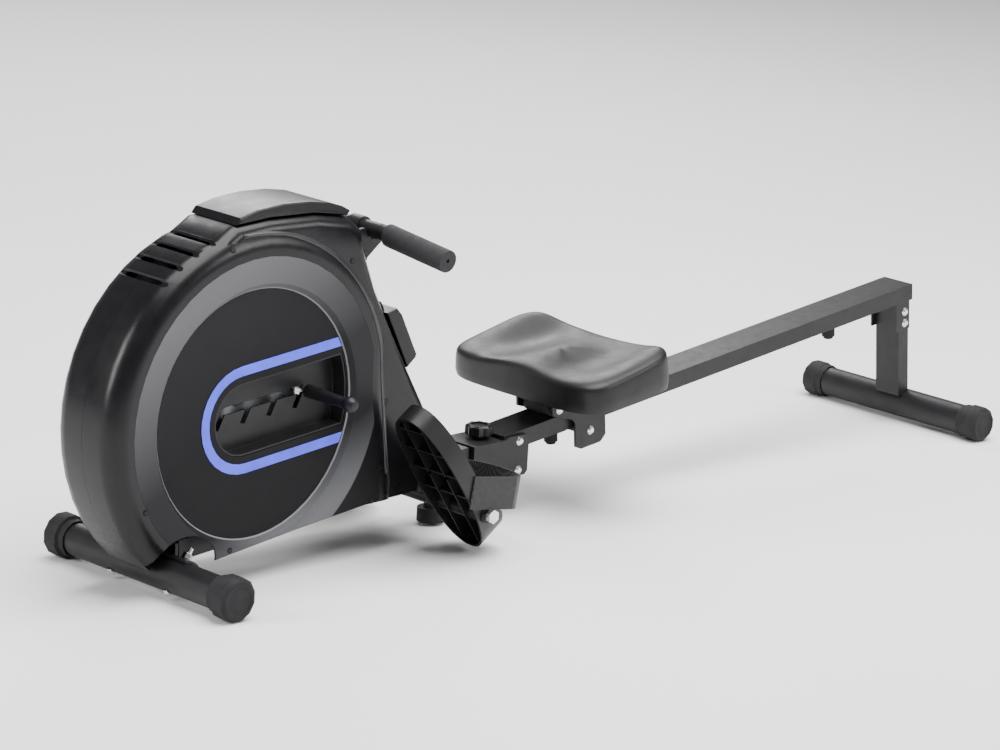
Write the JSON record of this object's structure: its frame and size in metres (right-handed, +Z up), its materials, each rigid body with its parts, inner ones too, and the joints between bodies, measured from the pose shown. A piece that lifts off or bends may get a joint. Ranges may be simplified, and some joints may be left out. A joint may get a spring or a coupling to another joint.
{
  "type": "rowing machine",
  "caption": "Folding rowing machine: round flywheel housing, strap-pulled handle, tilting pedals and a moulded seat rolling on a sloping rail.",
  "frame": {"origin": "middle of the footprint's bounding box, on the floor", "axes": "+X from the flywheel housing towards the seat's rear end, +Z up, -Y the user's left side"},
  "size_m": [1.8514, 0.4, 0.555],
  "materials": {
    "painted_frame": "satin black powder coat with a fine orange peel",
    "handle_steel": "satin black",
    "bright_steel": "zinc-plated, bright",
    "flywheel_iron": "turned rim",
    "housing_black": "black, semi-gloss moulding",
    "panel_grey": "dark grey, satin metallic coat",
    "inlay_blue": "blue-violet, satin",
    "trim_black": "black moulding",
    "seat_black": "self-skinned foam, fine leather grain",
    "pedal_black": "ribbed black moulding",
    "foot_rubber": "matt black",
    "grip_foam": "soft closed-cell foam",
    "webbing": "woven black webbing"
  },
  "bodies": {
    "frame": {"front_stabilizer": "painted_frame", "front_foot_right": "foot_rubber", "front_foot_left": "foot_rubber", "stabilizer_bolt_left": "bright_steel", "stabilizer_bolt_right": "bright_steel", "front_saddle": "painted_frame", "main_beam": "painted_frame", "middle_foot": "foot_rubber", "hinge_bracket": "painted_frame", "hinge_bolt": "bright_steel", "stop_bolt": "bright_steel", "housing_left": "housing_black", "housing_right": "housing_black", "top_hood": "housing_black", "side_panel_left": "panel_grey", "side_panel_right": "panel_grey", "blue_stripe": "inlay_blue", "gate_tub": "trim_black", "flywheel_upright": "painted_frame", "reel_axle": "bright_steel", "drive_belt": "foot_rubber", "console": "housing_black", "handle_holder": "trim_black", "pull_strap": "webbing", "strap_guide": "bright_steel", "pedal_axle": "bright_steel"},
    "rail": {"rail": "painted_frame", "rail_end_cap": "trim_black", "rear_post": "painted_frame", "rear_stabilizer": "painted_frame", "rear_foot_left": "foot_rubber", "rear_foot_right": "foot_rubber", "post_bolt_upper": "bright_steel", "post_bolt_lower": "bright_steel", "front_stop": "foot_rubber", "rear_stop": "foot_rubber"},
    "seat": {"seat_pad": "seat_black", "seat_carriage": "painted_frame", "roller_bolt_front": "bright_steel", "roller_bolt_rear": "bright_steel", "roller_bolt_lower": "bright_steel"},
    "roller_front": {"roller_front": "foot_rubber"},
    "roller_rear": {"roller_rear": "foot_rubber"},
    "roller_lower": {"roller_lower": "foot_rubber"},
    "pedal_left": {"pedal_left": "pedal_black", "foot_strap_left": "webbing"},
    "pedal_right": {"pedal_right": "pedal_black", "foot_strap_right": "webbing"},
    "handle": {"handle_bar": "handle_steel", "grip_left": "grip_foam", "grip_right": "grip_foam"},
    "reel": {"strap_reel": "trim_black"},
    "flywheel": {"flywheel": "flywheel_iron"},
    "pulley": {"drive_pulley": "trim_black"},
    "magnets": {"magnet_yoke": "painted_frame"},
    "lever": {"resistance_lever": "bright_steel", "lever_knob": "trim_black"},
    "button": {"console_button": "foot_rubber"},
    "knob": {"lock_knob": "trim_black"}
  },
  "joints": [
    {"name": "rail_fold", "type": "hinge", "parent": "frame", "child": "rail", "pos_m": [-0.0718, 0, 0.11591], "axis": [0, -1, 0], "range_deg": [0, 75]},
    {"name": "seat_slide", "type": "slide", "parent": "rail", "child": "seat", "axis": [0.9928, 0, 0.1201], "range_m": [0, 0.59]},
    {"name": "roller_front_spin", "type": "hinge", "parent": "seat", "child": "roller_front", "pos_m": [0.01021, 0, 0.15409], "axis": [0, 1, 0], "range_deg": [0, 2420]},
    {"name": "roller_rear_spin", "type": "hinge", "parent": "seat", "child": "roller_rear", "pos_m": [0.09757, 0, 0.16466], "axis": [0, 1, 0], "range_deg": [0, 2420]},
    {"name": "roller_lower_spin", "type": "hinge", "parent": "seat", "child": "roller_lower", "pos_m": [0.08397, 0, 0.11054], "axis": [0, 1, 0], "range_deg": [-3385, 0]},
    {"name": "pedal_left_tilt", "type": "hinge", "parent": "frame", "child": "pedal_left", "pos_m": [-0.28725, -0.133, 0.07], "axis": [0, 1, 0], "range_deg": [0, 28]},
    {"name": "pedal_right_tilt", "type": "hinge", "parent": "frame", "child": "pedal_right", "pos_m": [-0.28725, 0.133, 0.07], "axis": [0, 1, 0], "range_deg": [0, 28]},
    {"name": "handle_pull", "type": "slide", "parent": "frame", "child": "handle", "axis": [0.9781, 0, 0.2079], "range_m": [0, 0.85], "stiffness_N_per_m": 20, "springref_m": -0.3, "deforming": ["pull_strap"]},
    {"name": "reel_spin", "type": "hinge", "parent": "frame", "child": "reel", "pos_m": [-0.48825, 0, 0.33], "axis": [0, 1, 0], "range_deg": [0, 1165]},
    {"name": "flywheel_spin", "type": "hinge", "parent": "frame", "child": "flywheel", "pos_m": [-0.65825, 0, 0.228], "axis": [0, 1, 0], "continuous": true},
    {"name": "pulley_spin", "type": "hinge", "parent": "frame", "child": "pulley", "pos_m": [-0.48825, 0, 0.33], "axis": [0, 1, 0], "continuous": true},
    {"name": "lever_shift", "type": "slide", "parent": "frame", "child": "lever", "axis": [0.9969, 0, 0.0785], "range_m": [-0.153, 0]},
    {"name": "magnet_swing", "type": "hinge", "parent": "frame", "child": "magnets", "pos_m": [-0.7942, 0, 0.16461], "axis": [0, -1, 0], "range_deg": [0, 10.5]},
    {"name": "button_press", "type": "slide", "parent": "frame", "child": "button", "axis": [-0.8821, 0, -0.4711], "range_m": [0, 0.0007], "stiffness_N_per_m": 400},
    {"name": "knob_turn", "type": "hinge", "parent": "frame", "child": "knob", "pos_m": [-0.12625, 0, 0.13], "axis": [0, 0, 1], "range_deg": [0, 360]}
  ],
  "couplings": [
    {"joint": "roller_front_spin", "follows": "seat_slide", "rad_per_m": 71.429},
    {"joint": "roller_rear_spin", "follows": "seat_slide", "rad_per_m": 71.429},
    {"joint": "roller_lower_spin", "follows": "seat_slide", "rad_per_m": -100},
    {"joint": "reel_spin", "follows": "handle_pull", "rad_per_m": 23.81},
    {"joint": "pulley_spin", "follows": "flywheel_spin", "ratio": 0.29333},
    {"joint": "magnet_swing", "follows": "lever_shift", "rad_per_m": -1.14}
  ]
}
